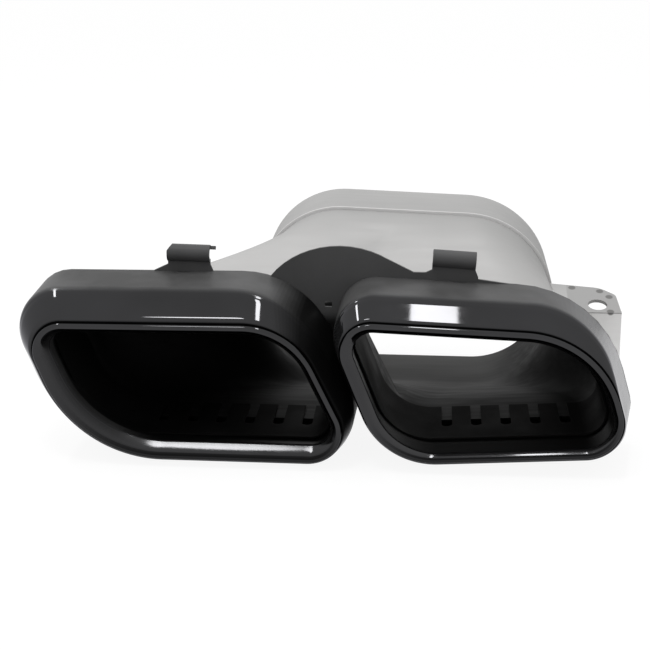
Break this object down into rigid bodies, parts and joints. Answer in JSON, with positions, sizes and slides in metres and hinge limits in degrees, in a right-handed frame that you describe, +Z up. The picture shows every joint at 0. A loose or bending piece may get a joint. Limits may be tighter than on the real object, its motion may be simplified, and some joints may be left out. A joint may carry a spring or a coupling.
{
  "type": "twin exhaust tip trim",
  "caption": "Slanted twin rectangular exhaust tips in dark chrome on a hooked carrier plate, fed by a two-branch funnel with one obround inlet collar and a side bracket.",
  "frame": {"origin": "middle of the part across and in depth, on the surface it rests on", "axes": "+X to the right seen from the lips, +Y from the lips into the car towards the inlet, +Z up"},
  "size_m": [0.3181, 0.185, 0.1078],
  "materials": {
    "dark_chrome": "polished dark chrome",
    "black_coat": "matt black heat-proof coating",
    "grey_coat": "satin dark grey coating on steel sheet",
    "satin_steel": "satin stainless steel sheet"
  },
  "bodies": {
    "root": {"left_tip": "dark_chrome", "right_tip": "dark_chrome", "left_liner": "black_coat", "right_liner": "black_coat", "carrier_plate": "grey_coat", "funnel_upper": "satin_steel", "funnel_lower": "satin_steel", "inlet_collar": "satin_steel", "side_bracket": "satin_steel"}
  },
  "joints": []
}
